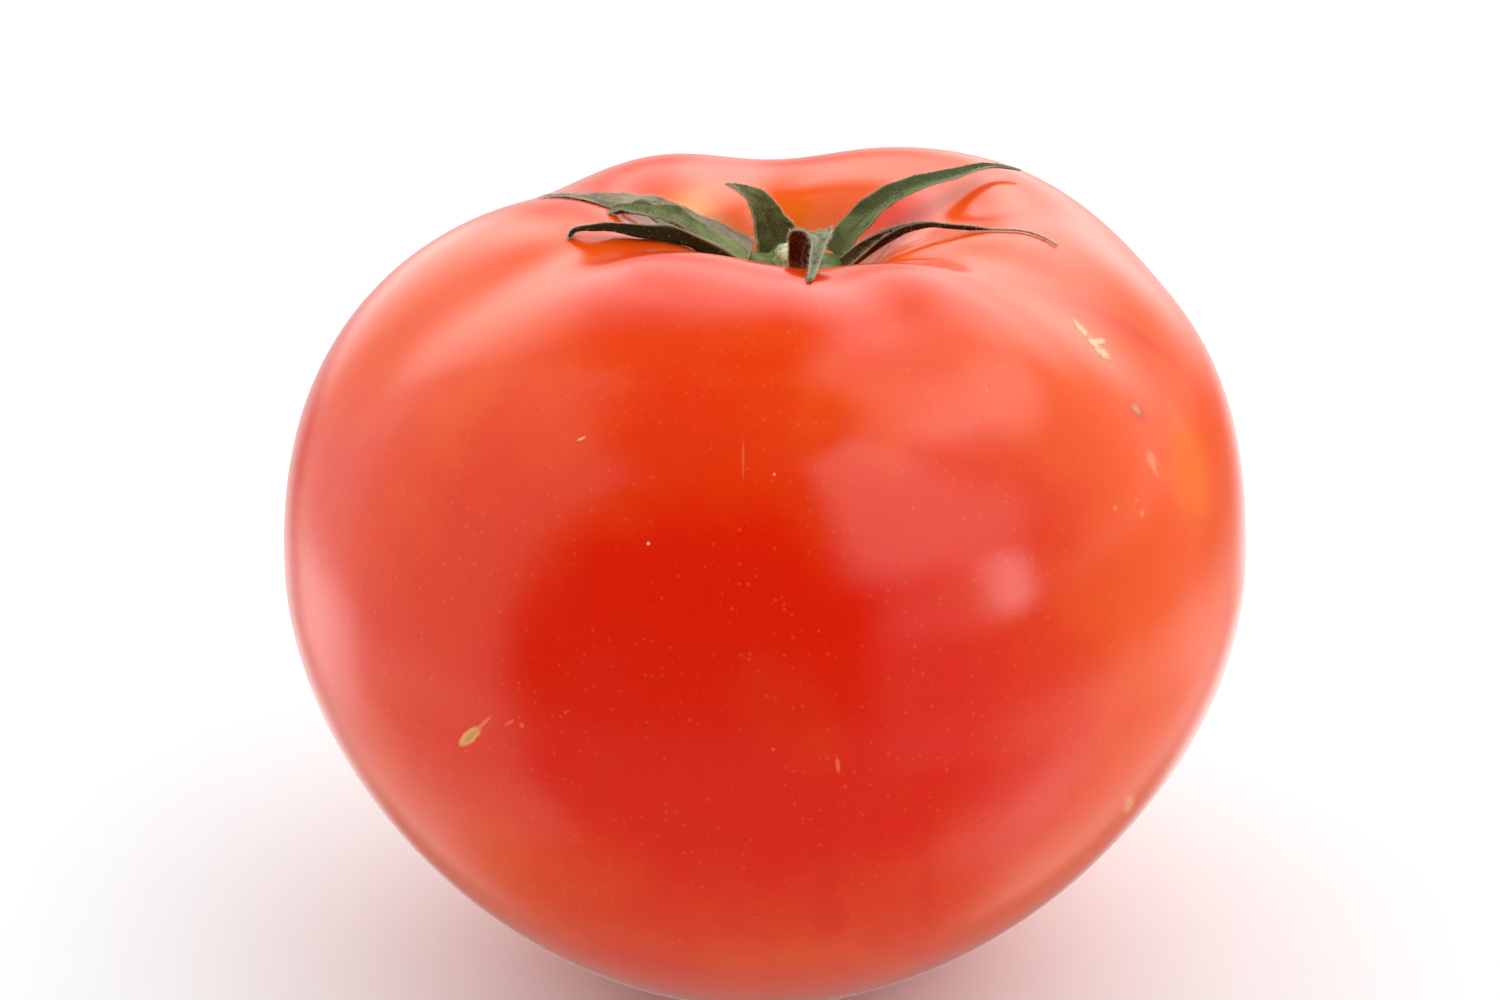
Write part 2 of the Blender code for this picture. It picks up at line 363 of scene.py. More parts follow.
# %% [markdown]
# ## The skin
# Ripe tomato skin is a clear yellowish film over red flesh. The red is deepest where the sun ripened
# it evenly, and warms to orange on the shoulders and in the stem cavity. Close up there are fine
# pale freckles and a dry corky ring round the stem. Light also goes a few millimetres in before it
# comes back out, which softens every shadow, so the finish has some subsurface scattering. The
# colours are mixed by place on the fruit, measured in radii from its middle.

# %% Skin: how ripe it is
DEEP_RED = (0.76, 0.012, 0.0)
CLEAR_RED = (0.78, 0.034, 0.0)
ORANGE_RED = (0.84, 0.085, 0.002)

skin_finish = Finish("ripe_skin")
metres = skin_finish.place()
radii = skin_finish.scaled(metres, *[1.0 / FRUIT_RADIUS] * 3)
east, north, up = skin_finish.split(radii)

# broad clouds of ripeness, in patches about a third of a radius across
clouds = skin_finish.noise(radii, scale=1.9, detail=3.0, roughness=0.5, distortion=0.3)
fine_clouds = skin_finish.noise(radii, scale=7.0, detail=4.0, roughness=0.6)
shoulder = skin_finish.step(up, 0.35, 0.68, 0.0, 0.6)
foot = skin_finish.step(up, 0.0, -0.5, 0.0, 0.6)
flank = skin_finish.step(skin_finish.math("ABSOLUTE", east), 0.12, 0.85, 0.0, 0.5)
sunless = skin_finish.step(east, 0.35, 0.9, 0.0, 0.35)
cloud_share = skin_finish.step(clouds, 0.3, 0.75, -0.15, 0.2)
warmth = shoulder
for share in (foot, flank, sunless, cloud_share):
    warmth = skin_finish.math("ADD", warmth, share)
fine_share = skin_finish.step(fine_clouds, 0.3, 0.7, -0.06, 0.06)
warmth = skin_finish.math("ADD", warmth, fine_share, clamp=True)
colour = skin_finish.mix(skin_finish.step(warmth, 0.0, 0.4), DEEP_RED, CLEAR_RED)
colour = skin_finish.mix(skin_finish.step(warmth, 0.35, 0.95), colour, ORANGE_RED)
print("ripeness:", len(skin_finish.tree.nodes), "nodes")

# %% Skin: the stem cavity
# it is the last part to ripen, and stays orange and yellow round a corky ring
ORANGE = (0.97, 0.118, 0.006)
YELLOW = (0.97, 0.40, 0.10)
CORKY_RING = (0.42, 0.20, 0.09)
# how high the cavity's middle lies over the fruit's, in radii
CAVITY_HEIGHT = 0.5

from_stem = skin_finish.vector("DISTANCE", radii, (*CAVITY_PLACE, CAVITY_HEIGHT), output="Value")
from_stem = skin_finish.math("MULTIPLY_ADD", fine_clouds, 0.16, from_stem)
colour = skin_finish.mix(skin_finish.step(from_stem, 0.56, 0.36), colour, ORANGE)
colour = skin_finish.mix(skin_finish.step(from_stem, 0.33, 0.24, 0.0, 0.35), colour, YELLOW)
from_axis = skin_finish.vector(
    "LENGTH",
    skin_finish.vector("SUBTRACT", skin_finish.scaled(radii, 1.0, 1.0, 0.0), (*CAVITY_PLACE, 0.0)),
    output="Value",
)
ring = skin_finish.math("MULTIPLY_ADD", fine_clouds, 0.05, from_axis)
colour = skin_finish.mix(skin_finish.step(ring, 0.155, 0.125, 0.0, 0.8), colour, CORKY_RING)
print("ripeness and cavity:", len(skin_finish.tree.nodes), "nodes")

# %% Skin: soft patches
# soft patches that ripened late or early, and painted shade and light where marked: start, end, half
# width, colour and strength
PATCHES = (
    ((0.82, -0.47, 0.38), (0.88, -0.32, 0.30), 0.11, (0.97, 0.28, 0.05), 0.35),
    ((-0.11, 0.26, 0.59), (-0.17, 0.33, 0.64), 0.07, (1.0, 0.34, 0.05), 0.8),
    ((0.06, 0.32, 0.54), (0.10, 0.42, 0.62), 0.055, (1.0, 0.17, 0.0), 0.85),
    ((-0.11, 0.25, 0.59), (-0.06, 0.26, 0.56), 0.03, (1.0, 0.66, 0.30), 0.85),
    # painted shade: a thin reddish-brown line of shade beside the back sepal, at the edge of the
    # cream cork
    ((-0.06, 0.27, 0.56), (-0.03, 0.29, 0.55), 0.02, (0.42, 0.16, 0.08), 0.6),
    # painted light and shade: vivid red under the right-back sepal, for the red light bounced into
    # its shade and the reflection it blocks
    ((0.22, 0.25, 0.58), (0.36, 0.27, 0.668), 0.07, (0.98, 0.02, 0.0), 0.8),
    # painted shade: a dark red line down the groove on the right shoulder
    ((0.594, -0.185, 0.639), (0.826, -0.183, 0.488), 0.022, (0.66, 0.02, 0.004), 0.45),
    ((-0.07, -0.022, -0.975), (0.035, -0.022, -0.975), 0.05, (0.95, 0.30, 0.08), 0.5),
    ((0.10, -0.97, -0.10), (0.12, -0.86, -0.45), 0.03, (0.70, 0.006, 0.0), 0.35),
    ((0.30, -0.90, -0.18), (0.30, -0.82, -0.42), 0.02, (0.70, 0.006, 0.0), 0.3),
)
PATCH_RAGGEDNESS = 1.6
PATCH_SOFTNESS = 0.7
# how far a spot reaches into the flesh, and the half length under which it is round, in half widths
SPOT_DEPTH = 4
SHORT_SPOT = 2


def spot(finish, place, start, end, half_width, raggedness, wobble, strength, softness):
    """A share, up to strength, in a long spot between two places. Lengths are in fruit radii."""
    start, end = Vector(start), Vector(end)
    half_length = (end - start).length / 2
    if half_length < SHORT_SPOT * half_width:
        # a short spot is round, which needs fewer nodes and so renders faster
        radius = math.sqrt(half_length * half_width)
        distance = finish.vector("DISTANCE", place, (start + end) / 2, output="Value")
        distance = finish.math("MULTIPLY_ADD", wobble, raggedness * radius, distance)
        edges = radius * (1.0 + softness), radius * (1.0 - softness)
        return finish.step(distance, *edges, 0.0, strength)
    along = (end - start).normalized()
    across = (start + end).cross(along).normalized()
    axes = Matrix((along, across, along.cross(across))).transposed().to_euler()
    inputs = {
        "Vector": place,
        "Location": (start + end) / 2,
        "Rotation": tuple(axes),
        "Scale": (half_length, half_width, SPOT_DEPTH * half_width),
    }
    own_place = finish.add("ShaderNodeMapping", inputs, vector_type="TEXTURE")
    distance = finish.vector("LENGTH", own_place, output="Value")
    distance = finish.math("MULTIPLY_ADD", wobble, raggedness, distance)
    return finish.step(distance, 1.0 + softness, 1.0 - softness, 0.0, strength)


slow_wobble = skin_finish.math("SUBTRACT", fine_clouds, 0.5)
for start, end, half_width, patch_colour, strength in PATCHES:
    way = start, end, half_width, PATCH_RAGGEDNESS
    share = spot(skin_finish, radii, *way, slow_wobble, strength, PATCH_SOFTNESS)
    colour = skin_finish.mix(share, colour, patch_colour)
print("soft patches:", len(PATCHES))

# %% [markdown]
# ## Pores, scars and scratches
# No fruit is clean. This one has pale pores too fine to see one by one, a healed scar of cream cork
# on its right shoulder, a small sunken pit under it, a rub mark low on the left and a few ticks.
# Each mark is a long ragged ellipse between two places on the skin, so it is one line in a list.

# %% Skin: pores and grain
PORE = (0.95, 0.34, 0.12)
GRAIN = (0.90, 0.20, 0.02)

pore_cells = skin_finish.cells(radii, 62.0)
pore_luck = skin_finish.split(pore_cells.node.outputs["Color"])[0]
pore_size = skin_finish.step(pore_luck, 0.35, 1.0, 0.0, 0.24)
pores = skin_finish.step(skin_finish.math("SUBTRACT", pore_cells, pore_size), 0.06, -0.06, 0.0, 0.11)
colour = skin_finish.mix(pores, colour, PORE)
grain = skin_finish.noise(radii, scale=150.0, detail=2.0)
colour = skin_finish.mix(skin_finish.step(grain, 0.35, 0.8, 0.0, 0.035), colour, GRAIN)
print("skin with pores and grain:", len(skin_finish.tree.nodes), "nodes")

# %% Skin: the list of marks
CORK = (0.80, 0.56, 0.34)
BROWN = (0.40, 0.14, 0.05)
BEIGE = (0.80, 0.36, 0.11)
PALE = (0.98, 0.36, 0.15)
PIT_RED = (0.60, 0.05, 0.01)
PIT_TAN = (0.60, 0.30, 0.13)
HALO = (0.92, 0.14, 0.03)
RUB_BROWN = (0.52, 0.24, 0.05)
RUB_TAIL = (0.86, 0.20, 0.08)
CORAL = (0.90, 0.13, 0.05)
FLECK = (0.92, 0.16, 0.04)
DIRT = (0.10, 0.05, 0.02)
# start, end, half width, raggedness, softness, colour, strength
MARKS = (
    ((0.605, -0.245, 0.620), (0.695, -0.350, 0.560), 0.030, 0.9, 0.7, HALO, 0.5),
    ((0.613, -0.258, 0.618), (0.656, -0.315, 0.583), 0.0170, 1.1, 0.5, BROWN, 0.5),
    ((0.650, -0.318, 0.585), (0.684, -0.332, 0.558), 0.0230, 1.1, 0.5, BROWN, 0.45),
    ((0.616, -0.258, 0.616), (0.645, -0.296, 0.593), 0.0100, 1.3, 0.5, CORK, 0.85),
    ((0.642, -0.295, 0.595), (0.662, -0.316, 0.578), 0.0110, 1.3, 0.5, CORK, 0.85),
    ((0.656, -0.312, 0.583), (0.683, -0.325, 0.561), 0.0160, 1.4, 0.5, CORK, 0.9),
    ((0.652, -0.305, 0.588), (0.679, -0.270, 0.577), 0.0065, 1.0, 0.5, CORK, 0.8),
    ((0.718, -0.405, 0.508), (0.740, -0.430, 0.477), 0.0260, 0.35, 0.35, PIT_RED, 0.7),
    ((0.722, -0.410, 0.503), (0.732, -0.420, 0.487), 0.0110, 1.0, 0.7, PIT_TAN, 0.8),
    ((0.745, -0.485, 0.437), (0.757, -0.499, 0.411), 0.0120, 1.2, 0.9, PALE, 0.5),
    ((0.752, -0.497, 0.418), (0.765, -0.507, 0.395), 0.0060, 1.0, 0.9, PALE, 0.4),
    ((0.727, -0.595, 0.368), (0.731, -0.597, 0.354), 0.0070, 0.8, 0.9, PALE, 0.5),
    ((0.716, -0.588, 0.391), (0.720, -0.592, 0.382), 0.0040, 0.8, 0.9, PALE, 0.45),
    ((0.667, -0.632, 0.398), (0.673, -0.636, 0.388), 0.0040, 0.8, 0.9, PALE, 0.45),
    ((0.722, -0.622, -0.272), (0.732, -0.575, -0.330), 0.0140, 0.8, 0.5, PORE, 0.7),
    ((-0.591, -0.797, -0.018), (-0.550, -0.823, 0.034), 0.0115, 0.3, 0.2, BEIGE, 0.95),
    ((-0.583, -0.803, -0.010), (-0.556, -0.820, 0.026), 0.0050, 0.9, 0.4, RUB_BROWN, 0.6),
    ((-0.556, -0.820, 0.028), (-0.528, -0.836, 0.066), 0.0035, 0.4, 0.4, RUB_TAIL, 0.8),
    ((-0.499, -0.852, 0.056), (-0.482, -0.860, 0.073), 0.0036, 0.5, 0.4, CORAL, 0.8),
    ((-0.472, -0.865, 0.070), (-0.461, -0.871, 0.063), 0.0036, 0.5, 0.4, CORAL, 0.8),
    ((-0.385, -0.900, 0.113), (-0.376, -0.904, 0.115), 0.0030, 0.5, 0.4, CORAL, 0.6),
    ((-0.565, -0.571, 0.507), (-0.556, -0.580, 0.504), 0.0036, 0.8, 0.3, DIRT, 0.9),
    ((-0.553, -0.583, 0.504), (-0.546, -0.590, 0.504), 0.0026, 0.8, 0.3, DIRT, 0.8),
    ((-0.352, -0.654, 0.560), (-0.337, -0.652, 0.566), 0.0024, 0.5, 0.4, CORK, 0.95),
    ((-0.464, -0.484, 0.599), (-0.460, -0.488, 0.599), 0.0030, 0.5, 0.4, CORK, 0.8),
    ((-0.221, -0.836, 0.436), (-0.215, -0.836, 0.437), 0.0032, 0.3, 0.4, CORK, 0.95),
    ((-0.040, -0.712, 0.586), (-0.041, -0.772, 0.541), 0.0022, 0.6, 0.5, PALE, 0.22),
    ((0.015, -0.769, 0.546), (0.018, -0.773, 0.542), 0.0028, 0.5, 0.4, PALE, 0.7),
    ((0.128, -0.969, 0.047), (0.131, -0.969, 0.016), 0.0040, 0.7, 0.5, FLECK, 0.8),
    ((0.008, -0.976, 0.077), (0.010, -0.975, 0.068), 0.0028, 0.5, 0.5, FLECK, 0.6),
    ((0.392, -0.296, 0.696), (0.401, -0.290, 0.692), 0.0030, 0.6, 0.4, CORK, 0.85),
    ((0.420, -0.557, 0.609), (0.425, -0.561, 0.606), 0.0028, 0.5, 0.4, PALE, 0.7),
    ((0.148, -0.515, 0.674), (0.149, -0.521, 0.671), 0.0026, 0.5, 0.4, CORK, 0.7),
    ((-0.036, -0.022, -0.975), (0.001, -0.022, -0.975), 0.016, 1.0, 0.5, BROWN, 0.8),
    ((-0.024, -0.026, -0.97), (-0.011, -0.020, -0.97), 0.006, 1.0, 0.5, CORK, 0.9),
)
print("marks:", len(MARKS))

# %% Skin: marks, relief and gloss
# how much the ragged noise moves an edge, and the half width from which a cork mark stands up
MARK_WOBBLE = 1.6
LEAST_RELIEF = 0.005
# the corky ring is matt, and the skin round it is drawn into fine spokes
STEM_SPOKES = 17
RELIEF_HEIGHT = 0.25 * MM
# how far light goes into the flesh, and the shares of that for red, green and blue
FLESH_DEPTH = 2.5 * MM
FLESH_SHARES = (1.0, 0.25, 0.1)

ragged_noise = skin_finish.noise(radii, scale=130.0, detail=3.0, roughness=0.6)
ragged_noise = skin_finish.math("SUBTRACT", ragged_noise, 0.5)
matt = skin_finish.step(ring, 0.17, 0.13, 0.0, 0.7)
round_stem = skin_finish.math(
    "ARCTAN2",
    skin_finish.math("SUBTRACT", north, CAVITY_PLACE[1]),
    skin_finish.math("SUBTRACT", east, CAVITY_PLACE[0]),
)
spokes = skin_finish.math("MULTIPLY", round_stem, STEM_SPOKES)
spokes = skin_finish.math("SINE", skin_finish.math("MULTIPLY_ADD", ragged_noise, 3.0, spokes))
relief = skin_finish.math("MULTIPLY", spokes, skin_finish.step(from_axis, 0.28, 0.15, 0.0, 0.35))
for start, end, half_width, ragged, softness, mark_colour, strength in MARKS:
    way = start, end, half_width, MARK_WOBBLE * ragged
    share = spot(skin_finish, radii, *way, ragged_noise, strength, softness)
    colour = skin_finish.mix(share, colour, mark_colour)
    if mark_colour == CORK and half_width > LEAST_RELIEF:
        relief = skin_finish.math("MAXIMUM", relief, share)
        matt = skin_finish.math("MAXIMUM", matt, share)
    elif mark_colour == PIT_RED:
        relief = skin_finish.math("SUBTRACT", relief, share)

skin_height = skin_finish.math("MULTIPLY_ADD", grain, 0.05, relief)
skin_bump = skin_finish.bump(skin_height, RELIEF_HEIGHT, 0.6)
skin_roughness = skin_finish.step(fine_clouds, 0.3, 0.7, 0.13, 0.18)
skin_roughness = skin_finish.math("MULTIPLY_ADD", matt, 0.45, skin_roughness)
ripe_skin = skin_finish.finish(
    Base_Color=colour,
    Roughness=skin_roughness,
    IOR=1.4,
    Subsurface_Weight=0.35,
    Subsurface_Radius=FLESH_SHARES,
    Subsurface_Scale=FLESH_DEPTH,
    Normal=skin_bump,
)
print("skin finish:", len(skin_finish.tree.nodes), "nodes")

# %% [markdown]
# ## The fruit itself
# Now the ball of directions goes through the formula, and the fine mesh gets what a CAD solid leaves
# out: slow waves in the surface, which is what makes the reflections on a real fruit wander.

# %% Fruit
# height, size and seed of each set of waves, and the height over which they fade in, in fruit radii
WAVES = ((0.002, 0.55, 3.1), (0.0003, 0.12, 7.7))
WAVES_FADE = 0.15


def soft_waves(points, size, seed):
    """Smooth random heights, about -1 to 1, with hills about size across."""
    offset = Vector((seed, 2.0 * seed, 3.0 * seed))
    return np.array([noise.noise(Vector(point) / size + offset) for point in points])


def normals_of(bm, points):
    """Outward unit normals of the mesh, with its corners at these points."""
    for vert, point in zip(bm.verts, points):
        vert.co = point
    bm.normal_update()
    return np.array([vert.normal for vert in bm.verts])


skin_normals = normals_of(fruit_bm, skin)
waves = sum(height * soft_waves(skin, size, seed) for height, size, seed in WAVES)
above_spot = smoothstep(skin[:, 2], -FLAT_SPOT_DROP, -FLAT_SPOT_DROP + WAVES_FADE)
skin = skin + skin_normals * (waves * above_spot)[:, None]
for vert, point in zip(fruit_bm.verts, skin):
    vert.co = point * FRUIT_RADIUS


def new_piece(name, bm, material, origin=None, replaces=()):
    """Turn a finished bmesh into a smooth-shaded piece that rides on the root body."""
    mesh = bpy.data.meshes.new(name)
    bm.to_mesh(mesh)
    bm.free()
    mesh.materials.append(material)
    mesh.shade_smooth()
    piece = bpy.data.objects.new(name, mesh)
    piece.location = origin or (0.0, 0.0, 0.0)
    bpy.context.scene.collection.objects.link(piece)
    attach(piece, "root")
    if replaces:
        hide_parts(*replaces)
    print(name + ":", len(mesh.polygons), "faces")
    return piece


fruit = new_piece("tomato_fruit", fruit_bm, ripe_skin, fruit_middle, ("fruit",))

# %% [markdown]
# ## Sepals: how a blade is laid out
# A sepal is a narrow leaf, thin at its edges, with a keel under its middle. Dry ones twist, fold and
# roll up. Each is drawn as a route of stations. A station says where the blade is (distance from
# the hub's axis in mm, height over the cavity floor in mm, bearing in degrees), then its half
# width in mm, its twist in degrees, and its curl: the half angle of the arc that its cross section
# bends to. A curl of 0 is flat, 90 is a half pipe, and 170 is rolled up like a wire.

# %% Sepal stations
SEPALS = {
    "sepal_front": (
        (5.0, 2.6, 276, 1.15, 0, 15),
        (5.7, 5.0, 274, 1.2, 0, 15),
        (7.0, 7.1, 274, 1.3, 0, 15),
        (8.2, 8.5, 275, 1.55, 0, 18),
        (9.4, 9.4, 277, 1.65, -4, 20),
        (11.0, 9.9, 279, 1.35, -4, 30),
        (12.9, 9.9, 278, 0.85, 0, 55),
        (16.1, 9.6, 275, 0.6, 0, 70),
        (20.0, 9.1, 272, 0.22, -10, 50),
    ),
    "sepal_right": (
        (4.8, 2.6, 337, 1.3, 30, 70),
        (6.8, 4.4, 340, 1.3, 30, 90),
        (8.2, 5.6, 338, 1.2, 30, 110),
        (9.6, 6.7, 336, 1.0, 25, 130),
        (10.9, 7.5, 337, 0.7, 20, 150),
        (12.7, 8.0, 339, 0.42, 10, 165),
        (14.5, 8.2, 338, 0.34, 0, 165),
        (16.8, 8.2, 339, 0.34, 0, 165),
        (19.0, 8.0, 340, 0.32, 0, 165),
        (21.2, 7.5, 342, 0.30, 0, 165),
        (22.8, 6.9, 342, 0.26, 0, 165),
        (24.5, 6.2, 341, 0.12, 0, 120),
    ),
    "sepal_right_back": (
        (4.4, 2.4, 22, 1.9, 8, 30),
        (5.1, 4.1, 22, 1.8, 8, 30),
        (6.2, 5.4, 20, 1.7, 10, 30),
        (7.3, 6.7, 16, 1.65, 10, 32),
        (8.9, 7.8, 15, 1.5, 10, 35),
        (10.6, 8.5, 15, 1.35, 10, 35),
        (12.7, 8.9, 16, 1.1, 10, 38),
        (15.3, 9.0, 18, 0.85, 10, 40),
        (18.1, 9.0, 21, 0.55, 8, 45),
        (20.3, 8.7, 22, 0.35, 5, 50),
        (22.6, 8.1, 21, 0.15, 0, 50),
    ),
    "sepal_back": (
        (4.9, 2.2, 108, 2.3, 0, 20),
        (5.2, 3.6, 114, 2.0, 0, 20),
        (5.5, 5.0, 119, 1.6, 0, 20),
        (6.2, 6.2, 122, 1.3, 0, 25),
        (7.3, 6.9, 125, 1.0, 0, 30),
        (8.9, 7.0, 126, 0.55, 0, 40),
        (10.9, 6.8, 126, 0.15, 0, 40),
    ),
    "sepal_left_back": (
        (4.7, 2.6, 153, 1.6, 0, 15),
        (7.2, 3.9, 160, 2.0, 0, 15),
        (10.0, 5.2, 164, 2.2, 0, 15),
        (12.8, 6.2, 165, 2.3, 0, 15),
        (15.7, 6.6, 165, 2.2, 0, 15),
        (18.7, 6.6, 164, 1.8, 0, 15),
        (21.8, 6.2, 163, 1.1, 0, 20),
        (25.2, 5.6, 162, 0.2, 0, 20),
    ),
    "sepal_left": (
        (4.5, 2.8, 185, 1.5, -10, 20),
        (7.2, 4.9, 188, 1.6, -10, 20),
        (9.6, 6.5, 187, 1.6, -8, 25),
        (11.8, 7.6, 185, 1.5, -8, 35),
        (13.9, 8.0, 183, 1.3, -5, 50),
        (15.5, 7.9, 180, 1.0, 0, 60),
        (16.6, 7.5, 179, 0.6, 0, 60),
        (16.8, 6.7, 181, 0.25, 0, 60),
    ),
    "sepal_left_front": (
        (4.8, 2.1, 211, 1.6, 35, 25),
        (7.7, 3.9, 209, 1.75, 45, 25),
        (10.8, 6.0, 209, 1.8, 52, 25),
        (13.3, 7.7, 208, 1.55, 55, 28),
        (15.6, 8.6, 207, 1.1, 55, 30),
        (17.7, 9.0, 203, 0.75, 52, 40),
        (19.5, 9.1, 201, 0.5, 50, 60),
        (20.6, 8.9, 199, 0.36, 50, 80),
        (21.2, 8.4, 198, 0.3, 50, 80),
        (21.4, 7.4, 199, 0.18, 50, 60),
    ),
}
print("sepals:", len(SEPALS), "with", sum(map(len, SEPALS.values())), "stations")

# %% [markdown]
# ## Sepals: from stations to a mesh
# A blade could be a plane with a Solidify modifier, but that gives it one thickness all over. Here
# each row of the mesh is a closed loop: across the upper side and back along the underside, so the
# keel, the groove over it and the thin edges can each have their own height. Rows run along a
# smooth Catmull-Rom line through the stations. The share along, the share across and the side are
# kept on each corner as an attribute, and the finish reads them.

# %% Sepals: the line through the stations
hub_low, hub_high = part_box("calyx_hub")
HUB_LIFT = 0.35 * MM
cavity_floor = Vector((
    (hub_low.x + hub_high.x) / 2,
    (hub_low.y + hub_high.y) / 2,
    hub_low.z - HUB_LIFT,
))


def along_stations(stations, part):
    """The station at part (0 to 1) of a smooth line through them all, a Catmull-Rom curve."""
    last = len(stations) - 1
    at = min(int(part * last), last - 1)
    step = part * last - at
    before = stations[at - 1] if at > 0 else 2 * stations[0] - stations[1]
    after = stations[at + 2] if at + 2 <= last else 2 * stations[last] - stations[last - 1]
    start, end = stations[at], stations[at + 1]
    return 0.5 * (
        2 * start
        + (end - before) * step
        + (2 * before - 5 * start + 4 * end - after) * step**2
        + (3 * start - before - 3 * end + after) * step**3
    )


def placed_stations(stations):
    """Stations as rows of x, y, z, half width in metres, and twist and curl in radians."""
    rows = []
    for distance, height, bearing, half_width, twist, curl in stations:
        turn = math.radians(bearing)
        rows.append((
            cavity_floor.x + distance * MM * math.cos(turn),
            cavity_floor.y + distance * MM * math.sin(turn),
            cavity_floor.z + height * MM,
            half_width * MM,
            math.radians(twist),
            math.radians(curl),
        ))
    return np.array(rows)


print("floor of the stem cavity, mm:", cavity_floor / MM)

# %% Sepals: the skin under them
SKIN_GAP = 0.15 * MM
ABOVE_FRUIT = 20 * MM

skin_tree = BVHTree.FromObject(fruit, bpy.context.evaluated_depsgraph_get())


def skin_under(point):
    """The height of the skin straight under a point, in world z."""
    start = Vector((point.x, point.y, fruit_high.z + ABOVE_FRUIT)) - fruit.location
    hit, _, _, _ = skin_tree.ray_cast(start, Vector((0.0, 0.0, -1.0)))
    return hit.z + fruit.location.z


print("skin under the hub, mm:", round(skin_under(cavity_floor) / MM, 2))

# %% Sepals: the shape of a blade
EDGE_THICKNESS = 0.16 * MM
BODY_THICKNESS = 0.22 * MM
KEEL_HEIGHT = 0.24 * MM
KEEL_WIDTH = 0.16
KEEL_TAPER = 0.45
MIDRIB_GROOVE = 0.07 * MM
MIDRIB_WIDTH = 0.13
VEIN_HEIGHT = 0.035 * MM
VEINS = 7.0
VEIN_SLANT = 0.9
VEIN_SHARPNESS = 6
# under this half width a blade gets thinner as well
NARROW_HALF = 0.5 * MM
# how close the ripples of its edges are, along and across, and how far apart two blades' patterns lie
RIPPLES_ALONG = 9.0
RIPPLES_ACROSS = 3.0
PATTERN_GAP = 40
# the step for finding a direction on the line, and the curl under which a blade counts as flat
LINE_STEP = 0.01
LEAST_CURL = 0.01


def blade_frame(stations, part):
    """Centre, side and up direction, half width and curl at part of the length."""
    centre = along_stations(stations, part)
    ahead = along_stations(stations, min(part + LINE_STEP, 1.0))
    behind = along_stations(stations, max(part - LINE_STEP, 0.0))
    tangent = Vector(ahead[:3] - behind[:3]).normalized()
    place = Vector(centre[:3])
    side = Vector((0.0, 0.0, 1.0)).cross(place - cavity_floor)
    side = (side - side.dot(tangent) * tangent).normalized()
    side = Matrix.Rotation(float(centre[4]), 3, tangent) @ side
    return place, side, tangent.cross(side), float(centre[3]), float(centre[5])


def blade_thickness(across, along):
    """How far the upper side stands over the middle sheet, and the underside under it."""
    taper = 1.0 - KEEL_TAPER * along
    body = EDGE_THICKNESS + (BODY_THICKNESS - EDGE_THICKNESS) * (1.0 - across**2)
    keel = KEEL_HEIGHT * math.exp(-((across / KEEL_WIDTH) ** 2)) * taper
    groove = MIDRIB_GROOVE * math.exp(-((across / MIDRIB_WIDTH) ** 2))
    vein_turn = math.tau * (VEINS * along - VEIN_SLANT * abs(across))
    vein = VEIN_HEIGHT * max(0.0, math.cos(vein_turn)) ** VEIN_SHARPNESS
    return body / 2 - groove + vein * abs(across), body / 2 + keel + vein * abs(across)


def ways_at(angle, side, up_way):
    """Outward and facing directions where the cross section has turned by angle."""
    outward = math.cos(angle) * side + math.sin(angle) * up_way
    return outward, math.cos(angle) * up_way - math.sin(angle) * side


def blade_point(stations, along, across, upper, ripple):
    """One point of the surface of a blade."""
    place, side, up_way, half, curl = blade_frame(stations, along)
    angle = curl * across
    if abs(curl) > LEAST_CURL:
        out, lift = math.sin(angle) / curl, (1.0 - math.cos(angle)) / curl
    else:
        out, lift = across, 0.0
    pattern = Vector((RIPPLES_ALONG * along, RIPPLES_ACROSS * across, ripple * PATTERN_GAP))
    wave = ripple * abs(across) ** 3 * noise.noise(pattern)
    middle = place + half * (out * side + (lift + wave) * up_way)
    _, facing = ways_at(angle, side, up_way)
    top, bottom = blade_thickness(across, along)
    narrow = min(1.0, half / NARROW_HALF)
    return middle + facing * (top if upper else -bottom) * narrow


print("blade over its keel, mm:", round(sum(blade_thickness(0.0, 0.0)) / MM, 2))

# %% Sepals: the mesh
BLADE_ROWS = 110
BLADE_COLUMNS = 18


def blade_mesh(name, ripple):
    """A closed blade, with its layout kept in the attribute blade: along, across, upper side."""
    stations = placed_stations(SEPALS[name])
    bm = bmesh.new()
    layout = bm.verts.layers.float_vector.new("blade")
    across_steps = np.sin(np.linspace(-math.pi / 2, math.pi / 2, BLADE_COLUMNS)).tolist()
    loops = []
    for row in range(BLADE_ROWS + 1):
        along = row / BLADE_ROWS
        loop = []
        for upper in (True, False):
            for across in across_steps if upper else across_steps[::-1]:
                point = blade_point(stations, along, across, upper, ripple)
                point.z = max(point.z, skin_under(point) + SKIN_GAP)
                vert = bm.verts.new(point)
                vert[layout] = (along, across, float(upper))
                loop.append(vert)
        loops.append(loop)
    for first, second in zip(loops, loops[1:]):
        for i in range(len(first)):
            j = (i + 1) % len(first)
            bm.faces.new((first[i], first[j], second[j], second[i]))
    bm.faces.new(loops[0][::-1])
    bm.faces.new(loops[-1])
    bmesh.ops.recalc_face_normals(bm, faces=bm.faces[:])
    return bm


print("a blade:", BLADE_ROWS + 1, "rows of", 2 * BLADE_COLUMNS, "corners")

